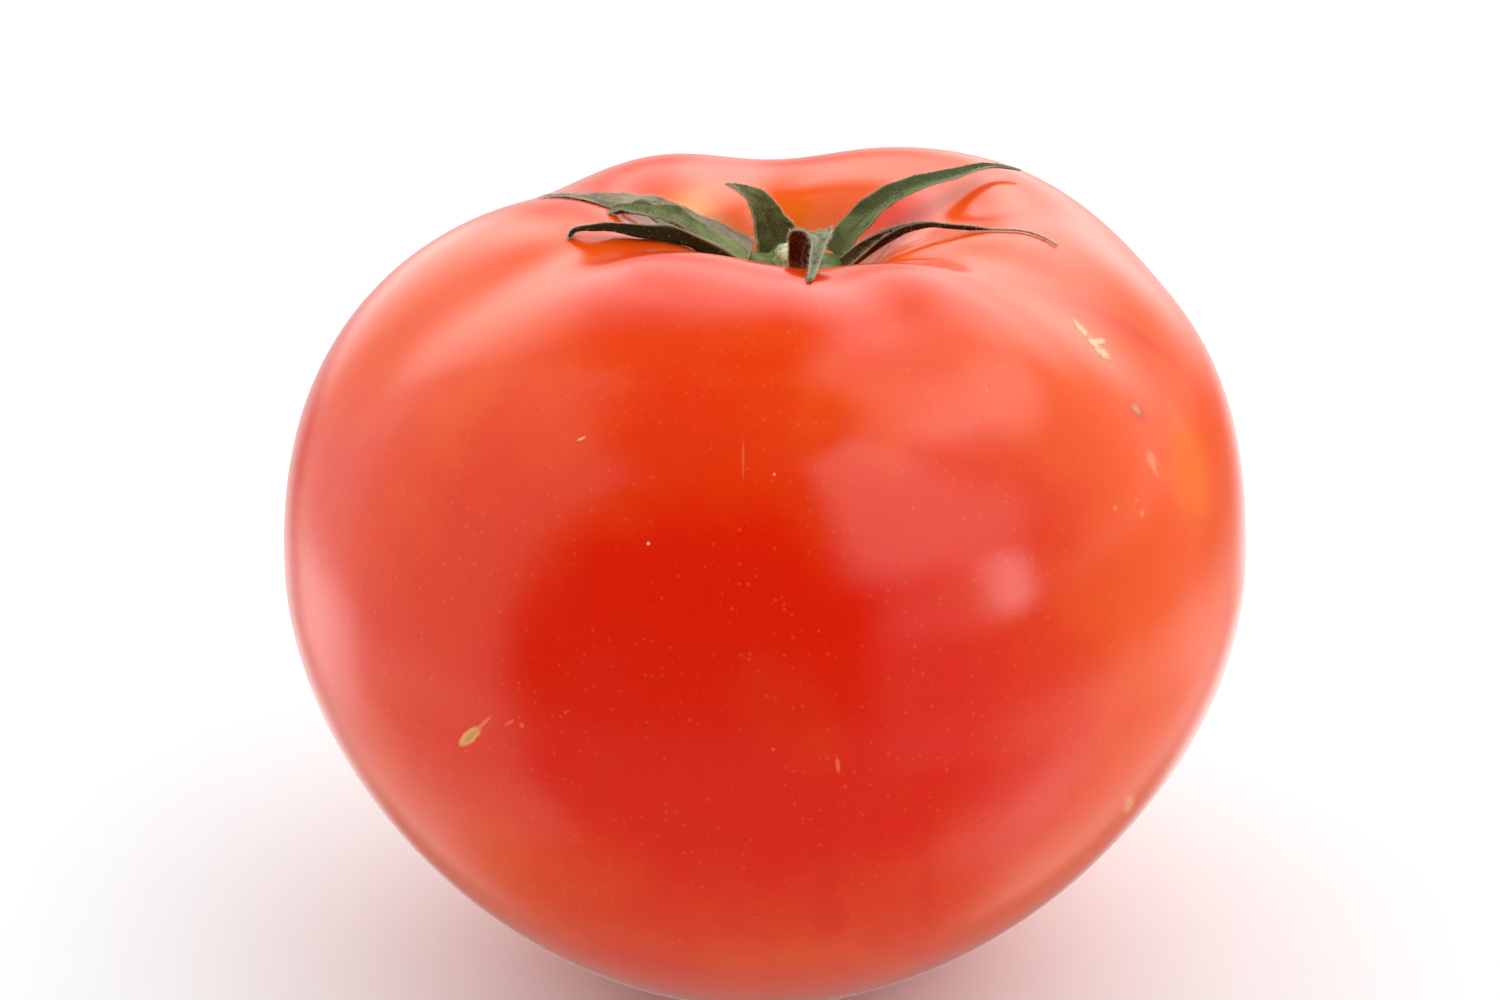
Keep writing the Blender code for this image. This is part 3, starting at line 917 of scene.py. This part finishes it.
# %% [markdown]
# ## The leaf finish
# A tomato sepal is matt and faintly furry. Its upper side is a grey green and its underside darker;
# on the front, right and left front sepals that darker underside is painted shade, and on the front
# one painted red light from the fruit too. A dark line of painted shade runs down the midrib, some
# blades have their far half darkened with painted shade, and the edges and tips dry out to straw and
# brown. Each sepal has its own two greens, because they dry at different rates, and shares the rest
# of the recipe.

# %% Leaf finish
STRAW_RIM = (0.48, 0.48, 0.32)
FIBRES_ALONG = 5.0
FIBRES_ACROSS = 11.0
LEAF_RELIEF = 0.10 * MM


def leaf_finish(name, upper_green, under_green, dry, dryness, far_shade):
    """The finish of one sepal, from its own colours and the painted shade it is given."""
    leaf = Finish(name)
    layout = leaf.add("ShaderNodeAttribute", output="Vector", attribute_name="blade")
    along, across, upper = leaf.split(layout)
    metres = leaf.place()
    edge = leaf.math("ABSOLUTE", across)
    mottle = leaf.noise(metres, scale=900.0, detail=4.0, roughness=0.6)
    patches = leaf.noise(metres, scale=260.0, detail=3.0, roughness=0.55, distortion=0.5)
    base = leaf.mix(upper, under_green, upper_green)
    # painted shade: the half of the blade away from the front takes the darker underside green
    base = leaf.mix(leaf.step(across, -0.15, 0.2, 0.0, far_shade), base, under_green)
    base = leaf.mix(leaf.step(mottle, 0.42, 0.66, 0.0, 0.65), base, under_green)
    paler = tuple(min(1.0, 1.5 * part + 0.04) for part in upper_green)
    pale_share = leaf.math("MULTIPLY", leaf.step(patches, 0.50, 0.68, 0.0, 0.6), upper)
    base = leaf.mix(pale_share, base, paler)
    fibres = leaf.scaled(layout, FIBRES_ALONG, FIBRES_ACROSS, 1.0)
    fibres = leaf.noise(fibres, scale=1.0, detail=4.0, roughness=0.65)
    base = leaf.mix(leaf.step(fibres, 0.45, 0.62, 0.0, 0.55), base, under_green)
    # painted shade: a dark line down the midrib, where its groove lies
    darker = tuple(0.4 * part for part in upper_green)
    painted_rib_shade = leaf.step(edge, 0.15, 0.03, 0.0, 0.6)
    base = leaf.mix(painted_rib_shade, base, darker)
    young = tuple(min(1.0, 1.25 * part + 0.02) for part in upper_green)
    base = leaf.mix(leaf.step(along, 0.16, 0.02, 0.0, 0.5), base, young)
    drying = leaf.math("MULTIPLY_ADD", along, 0.5, leaf.math("MULTIPLY", edge, 0.25))
    drying = leaf.math("MULTIPLY_ADD", patches, 0.7, drying)
    base = leaf.mix(leaf.step(drying, 1.15 - dryness, 1.45 - dryness), base, dry)
    rim = leaf.step(edge, 0.88, 0.99, 0.0, 0.6)
    base = leaf.mix(rim, base, STRAW_RIM)
    relief = leaf.math("MULTIPLY_ADD", mottle, 0.6, fibres)
    normal = leaf.bump(relief, LEAF_RELIEF, 0.6)
    return leaf.finish(
        Base_Color=base,
        Roughness=leaf.step(mottle, 0.3, 0.7, 0.62, 0.8),
        Normal=normal,
        IOR=1.35,
        Specular_IOR_Level=0.25,
    )


print("leaf relief, mm:", round(LEAF_RELIEF / MM, 2))

# %% The seven blades
# upper side, underside, dry parts, dryness, and how much painted shade darkens the half away from the
# front
LEAF_COLOURS = {
    # the front sepal's dark red-brown underside colour is painted shade, with painted red light
    # bounced from the fruit
    "sepal_front": ((0.33, 0.36, 0.22), (0.045, 0.014, 0.004), (0.36, 0.27, 0.15), 0.15, 0.0),
    # the right sepal's underside colour is its brown in shade, so it is painted shade
    "sepal_right": ((0.10, 0.07, 0.02), (0.035, 0.016, 0.004), (0.24, 0.16, 0.05), 0.15, 0.0),
    "sepal_right_back": ((0.145, 0.18, 0.055), (0.060, 0.080, 0.022), (0.13, 0.09, 0.03), 0.0, 0.8),
    "sepal_back": ((0.12, 0.125, 0.035), (0.050, 0.052, 0.014), (0.04, 0.04, 0.012), 0.1, 0.2),
    "sepal_left_back": ((0.33, 0.27, 0.19), (0.13, 0.10, 0.05), (0.42, 0.32, 0.25), 0.35, 0.3),
    "sepal_left": ((0.20, 0.235, 0.085), (0.085, 0.105, 0.035), (0.30, 0.30, 0.06), 0.3, 0.3),
    # the left front sepal's underside colour is its green in shade, so it is painted shade
    "sepal_left_front": ((0.14, 0.18, 0.08), (0.026, 0.038, 0.012), (0.05, 0.06, 0.02), 0.0, 0.0),
}
# how much the edges of each one ripple, in its own half widths
RIPPLES = {
    "sepal_front": 0.2,
    "sepal_right": 0.1,
    "sepal_right_back": 0.15,
    "sepal_back": 0.2,
    "sepal_left_back": 0.25,
    "sepal_left": 0.45,
    "sepal_left_front": 0.2,
}
for name, colours in LEAF_COLOURS.items():
    blade_bm = blade_mesh(name, RIPPLES[name])
    finish = leaf_finish(name + "_leaf", *colours)
    new_piece(name + "_blade", blade_bm, finish, None, (name,))

# %% [markdown]
# ## Hairs
# The calyx of a tomato is downy. Hair particles would be the usual way, but they are lost when the
# part is exported, so each hair here is a real spike with three sides. They stand thickest along
# the edges of the blades, where they catch the light as a pale fringe. The random numbers have a
# fixed seed, so every run grows the same hairs.

# %% Hairs
HAIRS_PER_BLADE = 1100
HAIR_LENGTHS = (0.14 * MM, 0.42 * MM)
HAIR_RADIUS = 0.017 * MM
HAIR_CORNERS = (0.0, 2.1, 4.2)
HAIR_SEED = 41
# the part of a blade that has hairs, from its base to its tip
HAIRY_PART = (0.02, 0.99)
# the shares that stand at the very edges and on the upper side
EDGE_SHARE = 0.5
EDGE_WIDTH = 0.02
UPPER_SHARE = 0.6
# how far they lean out over the edges, and how far each one strays
OUTWARD_LEAN = 1.6
STRAYING = 0.35
DULL_DOWN = (0.50, 0.52, 0.34)
BRIGHT_DOWN = (0.82, 0.80, 0.62)


def add_hair(bm, root, tip):
    """A three-sided spike from root to tip."""
    ahead = (tip - root).normalized()
    side = ahead.orthogonal().normalized() * HAIR_RADIUS
    turns = [Matrix.Rotation(corner, 3, ahead) for corner in HAIR_CORNERS]
    corners = [bm.verts.new(root + turn @ side) for turn in turns]
    top = bm.verts.new(tip)
    for first, second in zip(corners, corners[1:] + corners[:1]):
        bm.faces.new((first, second, top))
    bm.faces.new(corners[::-1])


def grow_hairs(name, chance):
    """Hairs all over a blade, most of them near its edges."""
    stations = placed_stations(SEPALS[name])
    bm = bmesh.new()
    for _ in range(HAIRS_PER_BLADE):
        along = float(chance.uniform(*HAIRY_PART))
        inner = float(chance.uniform(-1.0, 1.0))
        on_edge = math.copysign(1.0 - EDGE_WIDTH * abs(inner), inner)
        across = on_edge if chance.random() < EDGE_SHARE else inner
        upper = bool(chance.random() < UPPER_SHARE)
        root = blade_point(stations, along, across, upper, RIPPLES[name])
        root.z = max(root.z, skin_under(root) + SKIN_GAP)
        _, side, up_way, _, curl = blade_frame(stations, along)
        outward, facing = ways_at(curl * across, side, up_way)
        if not upper:
            facing = -facing
        stray = Vector(chance.normal(0.0, STRAYING, 3).tolist())
        lean = facing + outward * across**5 * OUTWARD_LEAN + stray
        length = float(chance.uniform(*HAIR_LENGTHS))
        add_hair(bm, root, root + lean.normalized() * length)
    return bm


hair_finish = Finish("leaf_hair")
hair_tint = hair_finish.noise(hair_finish.place(), scale=500.0, detail=2.0)
hair_colour = hair_finish.mix(hair_tint, DULL_DOWN, BRIGHT_DOWN)
leaf_hair = hair_finish.finish(Base_Color=hair_colour, Roughness=0.5, IOR=1.4)
chance = np.random.default_rng(HAIR_SEED)
for name in SEPALS:
    new_piece(name + "_hairs", grow_hairs(name, chance), leaf_hair, None, ())

# %% [markdown]
# ## The hub and the stub
# The sepals all grow out of one small green saucer, and the stem broke off at its knuckle on top.
# Both are turned shapes, but a lathe alone makes them look machined, so the outline swells towards
# each sepal and the top is left uneven.

# %% Hub
HUB_RADIUS = (hub_high.x - hub_low.x) / 2
HUB_SEGMENTS = 96
# how far the hub reaches out and up to each sepal, how wide that is, and how uneven it is
HUB_REACH = 0.28
HUB_RISE = 0.45 * MM
HUB_REACH_WIDTH = 15.0
HUB_UNEVENNESS = 0.12 * MM
HUB_RELIEF = 0.15 * MM
HUB_GREEN = (0.10, 0.16, 0.035)
HUB_PALE = (0.22, 0.27, 0.09)
# shares of the radius, and heights in mm, from the top down
HUB_OUTLINE = (
    (0.05, 2.3),
    (0.5, 2.35),
    (0.8, 2.3),
    (0.95, 2.2),
    (1.0, 1.95),
    (1.0, 1.6),
    (0.93, 1.35),
    (0.5, 0.55),
    (0.05, 0.4),
)
hub_bearings = [stations[0][2] for stations in SEPALS.values()]


def turned_piece(profile, segments, swell):
    """A turned solid from pairs of radius and height, top to foot. swell moves each corner."""
    bm = bmesh.new()
    rings = []
    for radius, height in profile:
        ring = []
        for k in range(segments):
            bearing = math.tau * k / segments
            r, h = swell(math.degrees(bearing), radius, height)
            ring.append(bm.verts.new((r * math.cos(bearing), r * math.sin(bearing), h)))
        rings.append(ring)
    for upper, lower in zip(rings, rings[1:]):
        for k in range(segments):
            n = (k + 1) % segments
            bm.faces.new((upper[k], lower[k], lower[n], upper[n]))
    bm.faces.new(rings[0][::-1])
    bm.faces.new(rings[-1])
    bmesh.ops.recalc_face_normals(bm, faces=bm.faces[:])
    return bm


def hub_swell(bearing, radius, height):
    """The hub reaches out towards each sepal."""
    reach = 0.0
    for centre in hub_bearings:
        reach = max(reach, math.exp(-((turn_between(bearing, centre) / HUB_REACH_WIDTH) ** 2)))
    share = radius / HUB_RADIUS
    spread = radius * (1.0 + HUB_REACH * reach * share)
    uneven = HUB_UNEVENNESS * noise.noise(Vector((bearing / 30.0, share * 4.0, 1.5)))
    return spread, height + (HUB_RISE * reach * share**2 if height > MM else 0.0) + uneven


hub_finish = Finish("calyx_green")
hub_mottle = hub_finish.noise(hub_finish.place(), scale=700.0, detail=4.0, roughness=0.6)
hub_share = hub_finish.step(hub_mottle, 0.35, 0.7)
hub_colour = hub_finish.mix(hub_share, HUB_GREEN, HUB_PALE)
hub_bump = hub_finish.bump(hub_mottle, HUB_RELIEF, 0.6)
calyx_green = hub_finish.finish(Base_Color=hub_colour, Roughness=0.6, Normal=hub_bump, IOR=1.4)
hub_profile = [(share * HUB_RADIUS, height * MM) for share, height in HUB_OUTLINE]
hub_bm = turned_piece(hub_profile, HUB_SEGMENTS, hub_swell)
new_piece("calyx_saucer", hub_bm, calyx_green, cavity_floor, ("calyx_hub",))

# %% Stub
STUB_SEGMENTS = 64
STUB_FLARE = 1.12
stub_low, stub_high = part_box("stem_stub")
STUB_RADIUS = (stub_high.x - stub_low.x) / 2 / STUB_FLARE
stub_foot = stub_low.z - cavity_floor.z
stub_top = stub_high.z - cavity_floor.z
# how many swellings go round the stub, how high they are, and where the first one is turned to
STUB_SWELLINGS = ((3, 0.06, 40), (5, 0.03, 0))
# the broken face is uneven, and it is all that stands over this height
BREAK_UNEVENNESS = 0.14 * MM
BREAK_HEIGHT = 2.9 * MM
BREAK_GRAIN = 2.5
# shares of the radius, and heights in mm: first from the top, then from the foot
STUB_HEAD = ((0.05, -0.25), (0.3, -0.2), (0.5, -0.05), (0.7, -0.05), (0.9, -0.25), (1.0, -0.6))
STUB_FOOT = ((0.95, 0.4), (1.1, 0.0), (1.0, -0.35))
STUB_GREEN = (0.30, 0.34, 0.14)
STUB_STRAW = (0.62, 0.62, 0.38)
STUB_SPOT = (0.09, 0.10, 0.03)
STUB_RELIEF = 0.12 * MM


def stub_swell(bearing, radius, height):
    """The stub is a little out of round, with an uneven broken face."""
    out = 1.0
    for swellings, high, turned in STUB_SWELLINGS:
        out += high * math.sin(math.radians(swellings * bearing + turned))
    share = radius / STUB_RADIUS
    turn = math.radians(bearing)
    place = Vector((math.cos(turn), math.sin(turn), 0)) * share * BREAK_GRAIN
    uneven = BREAK_UNEVENNESS * noise.noise(place)
    return radius * out, height + (uneven if height > BREAK_HEIGHT else 0.0)


stub_profile = [(share * STUB_RADIUS, stub_top + height * MM) for share, height in STUB_HEAD]
stub_profile += [(share * STUB_RADIUS, stub_foot + height * MM) for share, height in STUB_FOOT]
stub_finish = Finish("stub_pale")
stub_place = stub_finish.place()
stub_mottle = stub_finish.noise(stub_place, scale=1400.0, detail=4.0, roughness=0.6)
stub_share = stub_finish.step(stub_mottle, 0.3, 0.65)
stub_colour = stub_finish.mix(stub_share, STUB_GREEN, STUB_STRAW)
stub_spots = stub_finish.cells(stub_place, 1500.0)
stub_spots = stub_finish.step(stub_spots, 0.26, 0.16)
stub_colour = stub_finish.mix(stub_spots, stub_colour, STUB_SPOT)
stub_bump = stub_finish.bump(stub_mottle, STUB_RELIEF, 0.6)
stub_pale = stub_finish.finish(Base_Color=stub_colour, Roughness=0.65, Normal=stub_bump, IOR=1.4)
stub_bm = turned_piece(stub_profile, STUB_SEGMENTS, stub_swell)
new_piece("stem_stub_scar", stub_bm, stub_pale, cavity_floor, ("stem_stub",))

# %% [markdown]
# ## The table
# The fruit stands on plain white. A single big square is enough, in a matt paper white with a trace
# of grain, so that the soft shadow and the red glow round the foot of the fruit both show on it.

# %% Floor
FLOOR_HALF = 3.0
FLOOR_SQUARES = 12
PAPER = (0.85, 0.925, 0.94)
BRIGHT_PAPER = (0.88, 0.95, 0.965)
floor_bm = bmesh.new()
bmesh.ops.create_grid(
    floor_bm, x_segments=FLOOR_SQUARES, y_segments=FLOOR_SQUARES, size=FLOOR_HALF
)
floor_finish = Finish("paper_white")
floor_grain = floor_finish.noise(floor_finish.place(), scale=60.0, detail=5.0, roughness=0.6)
paper = floor_finish.mix(floor_grain, PAPER, BRIGHT_PAPER)
paper_white = floor_finish.finish(Base_Color=paper, Roughness=0.9, IOR=1.3)
floor_mesh = bpy.data.meshes.new("table")
floor_bm.to_mesh(floor_mesh)
floor_bm.free()
floor_mesh.materials.append(paper_white)
floor = bpy.data.objects.new("table", floor_mesh)
bpy.context.scene.collection.objects.link(floor)
floor.visible_glossy = False
print("table, m across:", 2 * FLOOR_HALF)

# %% [markdown]
# ## The light
# The studio is a white tent. Its soft dome of light comes from all round, much weaker in front of
# the fruit and stronger to the right, so there is hardly a shadow but the one under the fruit.
# Glossy skin shows more than that: it mirrors the dark gap where the tent is open, and the windows
# round it. They could be area lamps, but lamps have hard edges in a glossy skin. Here the surround
# itself is shaded by direction: one plan for the dome, and one for what the gloss mirrors.

# %% Surround: its own helper
world = bpy.data.worlds.new("studio")
world.use_nodes = True
world.cycles.sampling_method = "NONE"
bpy.context.scene.world = world


class Surround(Finish):
    """The same helper, for the tree of a world."""

    def __init__(self, world):
        self.tree = world.node_tree
        self.tree.nodes.remove(self.tree.nodes["Background"])

    def glowing(self, colour):
        return self.add("ShaderNodeBackground", {"Color": colour})

    def choose(self, factor, first, second):
        """A mix of two backgrounds. Cycles works out only the one that a ray needs."""
        return self.add("ShaderNodeMixShader", {0: factor, 1: first, 2: second})


print("studio:", world.name)

# %% Surround: the windows
# bearings in degrees, 0 in front and 90 to the right, and heights in degrees, 90 overhead
studio = Surround(world)
way_x, way_y, way_z = studio.split(studio.add("ShaderNodeTexCoord", output="Generated"))
toward_front = studio.math("MULTIPLY", way_y, -1.0)
bearing = studio.math("DEGREES", studio.math("ARCTAN2", way_x, toward_front))
height = studio.math("DEGREES", studio.math("ARCSINE", way_z))


def window(middle, full, gone, foot, top, glow):
    """A soft window of light: full up to one angle from its middle bearing, gone past another."""
    turn = studio.math("WRAP", studio.math("SUBTRACT", bearing, middle), 180.0, -180.0)
    share = studio.step(studio.math("ABSOLUTE", turn), gone, full)
    share = studio.math("MULTIPLY", share, studio.step(height, *foot))
    share = studio.math("MULTIPLY", share, studio.step(height, *top))
    return studio.math("MULTIPLY", share, glow)


def light_plan(glow, windows):
    """The light from every direction: an even glow and the windows in it."""
    for edges in windows:
        glow = studio.math("ADD", glow, window(*edges))
    return glow


print("ways of the light:", len(studio.tree.nodes), "nodes")

# %% Surround: the two plans
# Each row: middle bearing, the half widths where the window is full and where it is gone, its foot
# and its top (gone, full), and its strength. A glow of less than nothing is an opening.
DOME = (
    (-8, 25, 62, (-95, -91), (88, 60), -1.1),  # the opening in front
    (105, 30, 95, (-95, -91), (88, 50), 0.35),  # the brighter side
)
MIRRORED = (
    (-99, 35, 47, (-30, -20), (66, 58), 1.05),  # left wall
    (-154, 9, 18, (-12, 0), (52, 38), 1.3),  # window behind, left
    (180, 26, 44, (-44, -34), (44, 30), 0.75),  # back wall
    (156, 14, 26, (-12, 0), (60, 48), 1.0),  # window behind, right
    (146, 12, 24, (-46, -36), (4, -10), 0.25),  # back wall, low on the right
    (112, 36, 54, (-6, 8), (60, 50), 1.0),  # right wall
    (75, 44, 56, (-34, -26), (14, 2), 0.5),  # right wall, low
    (112, 46, 62, (48, 62), (78, 70), 1.9),  # lit roof over it
    (104, 14, 28, (42, 54), (68, 62), 2.6),  # skylight
    (146, 12, 26, (20, 38), (62, 52), 2.0),  # skylight behind, right
    (180, 10, 30, (10, 28), (54, 42), 1.8),  # skylight behind
    (43, 15, 28, (16, 34), (77, 70), 2.5),  # window beside the camera
    (43, 8, 22, (-6, 10), (36, 22), 1.0),  # the same window, low
    (54.5, 1, 6, (-3, 5), (25, 15), 6.0),  # small lamp
    (0, 180, 181, (-95, -91), (-18, -29), 0.30),  # table in the shade of the fruit
    (-98, 36, 50, (-62, -48), (-18, -28), 0.62),  # open table, left
    (-122, 4, 20, (-40, -28), (-12, -22), 0.9),  # its far end
    (95, 34, 48, (-68, -58), (-18, -28), 0.6),  # open table, right
    (79, 4, 16, (-62, -48), (-22, -34), 0.7),  # its near end
)
DOME_GLOW = 1.4
MIRRORED_GLOW = 0.02
BACKDROP_WHITE = (1.0, 1.0, 1.0)

path = studio.tree.nodes.new("ShaderNodeLightPath")
dome = studio.glowing(light_plan(DOME_GLOW, DOME))
mirrored = studio.glowing(light_plan(MIRRORED_GLOW, MIRRORED))
glow = studio.choose(path.outputs["Is Glossy Ray"], dome, mirrored)
glow = studio.choose(path.outputs["Is Camera Ray"], glow, studio.glowing(BACKDROP_WHITE))
studio.feed(studio.tree.nodes["World Output"].inputs["Surface"], glow)
bpy.context.scene.view_settings.view_transform = "Standard"
print("surround:", len(studio.tree.nodes), "nodes")
